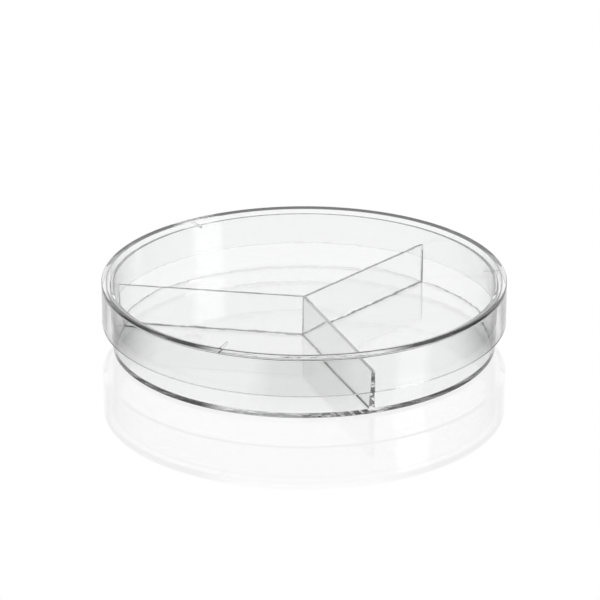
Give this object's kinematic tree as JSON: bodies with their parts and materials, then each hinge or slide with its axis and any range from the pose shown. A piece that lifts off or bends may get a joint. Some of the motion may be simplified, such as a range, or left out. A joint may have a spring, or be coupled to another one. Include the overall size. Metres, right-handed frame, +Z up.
{
  "type": "petri dish",
  "caption": "Clear round culture dish: a flat-floored base split into compartments by a Y-shaped divider, under a loose shallow lid with vent ribs that lifts straight off.",
  "frame": {"origin": "on the dish's axis, at the height of the surface that the base's flat underside rests on", "axes": "+Z up along the dish's axis, towards the lid; one divider wall points to 50 degrees from +X towards +Y, and the others follow every 120 degrees"},
  "size_m": [0.094, 0.094, 0.0162],
  "materials": {
    "lid_polystyrene": "clear, colourless, polished moulding",
    "base_polystyrene": "clear, colourless, polished moulding"
  },
  "bodies": {
    "base": {"base_dish": "base_polystyrene", "divider": "base_polystyrene"},
    "lid": {"lid": "lid_polystyrene"}
  },
  "joints": [
    {"name": "lid_lift", "type": "slide", "parent": "base", "child": "lid", "axis": [0, 0, 1], "range_m": [0, 0.04]}
  ]
}
